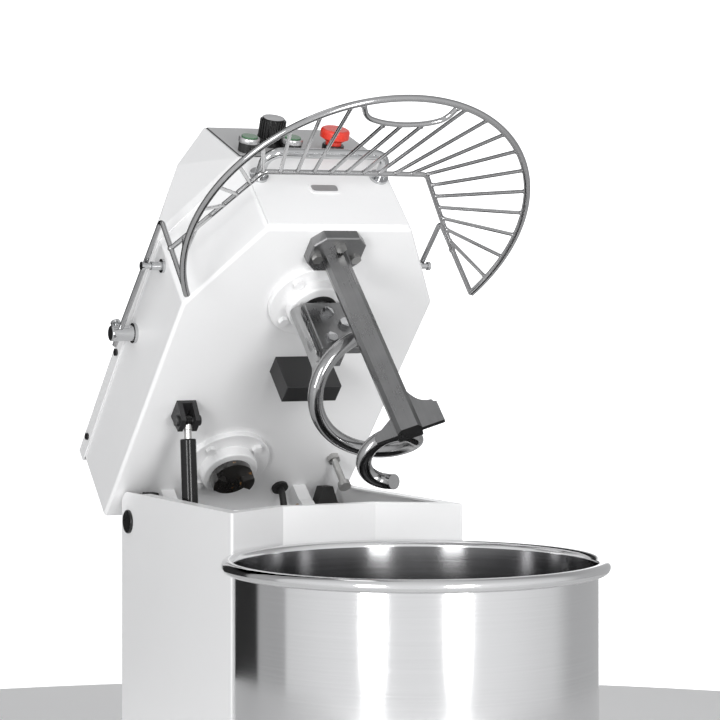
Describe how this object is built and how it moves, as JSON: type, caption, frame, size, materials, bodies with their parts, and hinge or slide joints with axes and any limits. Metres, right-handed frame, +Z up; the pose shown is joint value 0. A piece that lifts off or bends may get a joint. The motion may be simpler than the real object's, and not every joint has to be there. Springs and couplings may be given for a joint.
{
  "type": "spiral dough mixer",
  "caption": "Commercial lift-up-head spiral dough mixer with a removable turning bowl, breaker bar, wire guard and front controls.",
  "frame": {"origin": "on the floor under the middle of the whole machine, with the head raised", "axes": "+X is the right-hand side seen from the front, -Y is the front where the bowl is, +Z is up"},
  "size_m": [0.483, 0.96, 1.0553],
  "materials": {
    "white_paint": "glossy powder coat",
    "stainless": "polished",
    "bright_chrome": "polished",
    "shaft_steel": "ground",
    "cast_metal": "greased",
    "bronze": "plain",
    "black_plastic": "satin",
    "black_rubber": "matt",
    "green_plastic": "glossy",
    "red_plastic": "glossy",
    "grey_panel": "satin",
    "black_paint": "satin",
    "cast_aluminium": "as cast"
  },
  "bodies": {
    "machine_base": {"base_housing": "white_paint", "rubber_feet": "black_rubber", "column_shell": "white_paint", "rear_cover": "white_paint", "rear_cover_screws": "shaft_steel", "cable_inlet": "black_plastic", "hinge_blocks": "black_paint", "hinge_pins": "shaft_steel", "rubber_buffers": "black_rubber", "electrical_box": "black_plastic", "base_bearings": "shaft_steel", "bearing_bridge": "black_paint", "head_cable_lower": "black_rubber", "bowl_chain": "cast_metal"},
    "head": {"head_casing": "white_paint", "head_lid": "white_paint", "lid_screws": "black_plastic", "head_frame": "white_paint", "hinge_bushes": "bronze", "hub_housings": "white_paint", "flange_bolts": "shaft_steel", "hub_bearings": "shaft_steel", "spiral_seal": "black_rubber", "head_chain": "cast_metal", "gearbox_case": "cast_aluminium", "motor_body": "cast_aluminium", "breaker_bar": "stainless", "stop_block": "black_paint", "closing_stop": "shaft_steel", "strut_clevis": "black_paint", "cable_grommet": "black_rubber", "head_cable_upper": "black_rubber", "control_panel": "grey_panel", "control_barrels": "black_plastic", "lift_handle": "bright_chrome", "pivot_studs": "bright_chrome", "rest_pegs": "bright_chrome"},
    "guard": {"guard_hoop": "stainless", "guard_frame": "stainless", "guard_spokes": "stainless", "guard_bosses": "bright_chrome"},
    "platter": {"bowl_platter": "stainless", "bowl_sprocket": "cast_metal"},
    "bowl": {"bowl": "stainless"},
    "lower_drive": {"lower_drive_shaft": "shaft_steel", "lower_coupling_claw": "cast_metal"},
    "upper_drive": {"upper_drive_shaft": "shaft_steel", "upper_coupling_claw": "cast_metal", "worm_wheel": "bronze"},
    "spiral": {"spiral_shaft": "stainless", "spiral_sprocket": "cast_metal", "spiral_hook": "stainless", "hook_bolts": "stainless"},
    "rotor": {"motor_rotor": "shaft_steel"},
    "strut_cylinder": {"strut_tube": "black_paint"},
    "strut_piston": {"strut_rod": "bright_chrome"},
    "knob": {"speed_knob": "black_plastic"},
    "start_button": {"start_button": "green_plastic"},
    "jog_button": {"jog_button": "green_plastic"},
    "stop_button": {"emergency_stop": "red_plastic"}
  },
  "joints": [
    {"name": "head_tilt", "type": "hinge", "parent": "machine_base", "child": "head", "pos_m": [0, 0.3185, 0.486], "axis": [1, 0, 0], "range_deg": [0, 45.5]},
    {"name": "guard_tilt", "type": "hinge", "parent": "head", "child": "guard", "pos_m": [0, 0.25151, 0.75105], "axis": [-1, 0, 0], "range_deg": [0, 60]},
    {"name": "rotor_spin", "type": "hinge", "parent": "head", "child": "rotor", "pos_m": [0.026, 0.2038, 0.7939], "axis": [0, -0.7009, 0.7133], "continuous": true},
    {"name": "coupling_spin", "type": "hinge", "parent": "head", "child": "upper_drive", "pos_m": [-0.03, 0.29729, 0.56751], "axis": [0, 0.7133, 0.7009], "continuous": true},
    {"name": "spiral_spin", "type": "hinge", "parent": "head", "child": "spiral", "pos_m": [0, 0.06809, 0.80074], "axis": [0, 0.7133, 0.7009], "continuous": true},
    {"name": "lower_shaft_spin", "type": "hinge", "parent": "machine_base", "child": "lower_drive", "pos_m": [-0.03, 0.2455, 0.3], "axis": [0, 0, 1], "continuous": true},
    {"name": "platter_spin", "type": "hinge", "parent": "machine_base", "child": "platter", "pos_m": [0, -0.2385, 0.15], "axis": [0, 0, 1], "continuous": true},
    {"name": "bowl_lift", "type": "slide", "parent": "platter", "child": "bowl", "axis": [0, 0, -1], "range_m": [-0.1, 0]},
    {"name": "strut_swing", "type": "hinge", "parent": "head", "child": "strut_cylinder", "pos_m": [-0.126, 0.2031, 0.63197], "axis": [1, 0, 0], "range_deg": [-33.85, 0]},
    {"name": "strut_stroke", "type": "slide", "parent": "strut_cylinder", "child": "strut_piston", "axis": [0, 0.0841, 0.9965], "range_m": [0, 0.1258]},
    {"name": "knob_turn", "type": "hinge", "parent": "head", "child": "knob", "pos_m": [-0.037, 0.11945, 1.02564], "axis": [0, -0.3458, 0.9383], "range_deg": [0, 300]},
    {"name": "start_press", "type": "slide", "parent": "head", "child": "start_button", "axis": [0, 0.3458, -0.9383], "range_m": [0, 0.004], "stiffness_N_per_m": 600, "springref_m": -0.002},
    {"name": "jog_press", "type": "slide", "parent": "head", "child": "jog_button", "axis": [0, 0.3458, -0.9383], "range_m": [0, 0.004], "stiffness_N_per_m": 600, "springref_m": -0.002},
    {"name": "stop_press", "type": "slide", "parent": "head", "child": "stop_button", "axis": [0, 0.3458, -0.9383], "range_m": [0, 0.004], "stiffness_N_per_m": 900, "springref_m": -0.003}
  ],
  "couplings": [
    {"joint": "strut_swing", "follows": "head_tilt", "ratio": -0.73957},
    {"joint": "strut_stroke", "follows": "head_tilt", "m_per_rad": 0.15776},
    {"joint": "coupling_spin", "follows": "rotor_spin", "ratio": 0.041667},
    {"joint": "spiral_spin", "follows": "rotor_spin", "ratio": 0.069444},
    {"joint": "lower_shaft_spin", "follows": "rotor_spin", "ratio": 0.041667},
    {"joint": "platter_spin", "follows": "rotor_spin", "ratio": 0.0092593}
  ]
}
